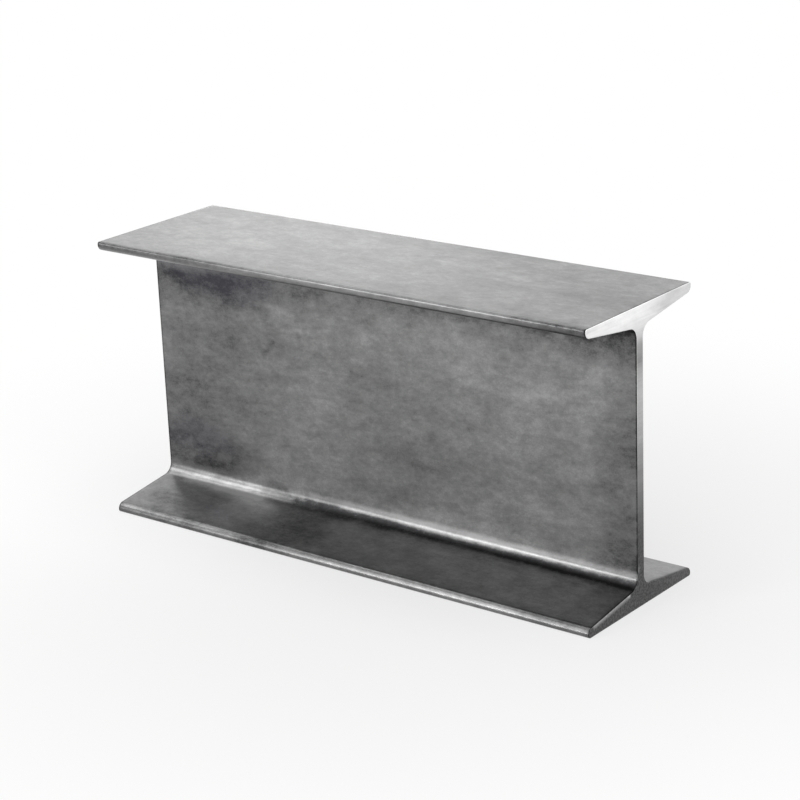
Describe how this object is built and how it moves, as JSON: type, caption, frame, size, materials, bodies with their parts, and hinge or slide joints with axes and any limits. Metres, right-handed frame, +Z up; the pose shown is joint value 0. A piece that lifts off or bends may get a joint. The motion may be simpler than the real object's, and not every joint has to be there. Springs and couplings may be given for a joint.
{
  "type": "steel i-beam",
  "caption": "Short offcut of rolled steel I-beam with tapered flanges, rounded toes and root fillets, sawn square at both ends.",
  "frame": {"origin": "under the middle of the lower flange, on the plane that the beam stands on", "axes": "+X along the beam, +Y across the flanges, +Z up the web to the upper flange"},
  "size_m": [0.252, 0.075, 0.125],
  "materials": {
    "hot_rolled_steel": "hot-rolled mill finish: satin grey with cloudy mottling and faint rolling streaks, bare sawn ends"
  },
  "bodies": {
    "root": {"rolled_beam": "hot_rolled_steel"}
  },
  "joints": []
}
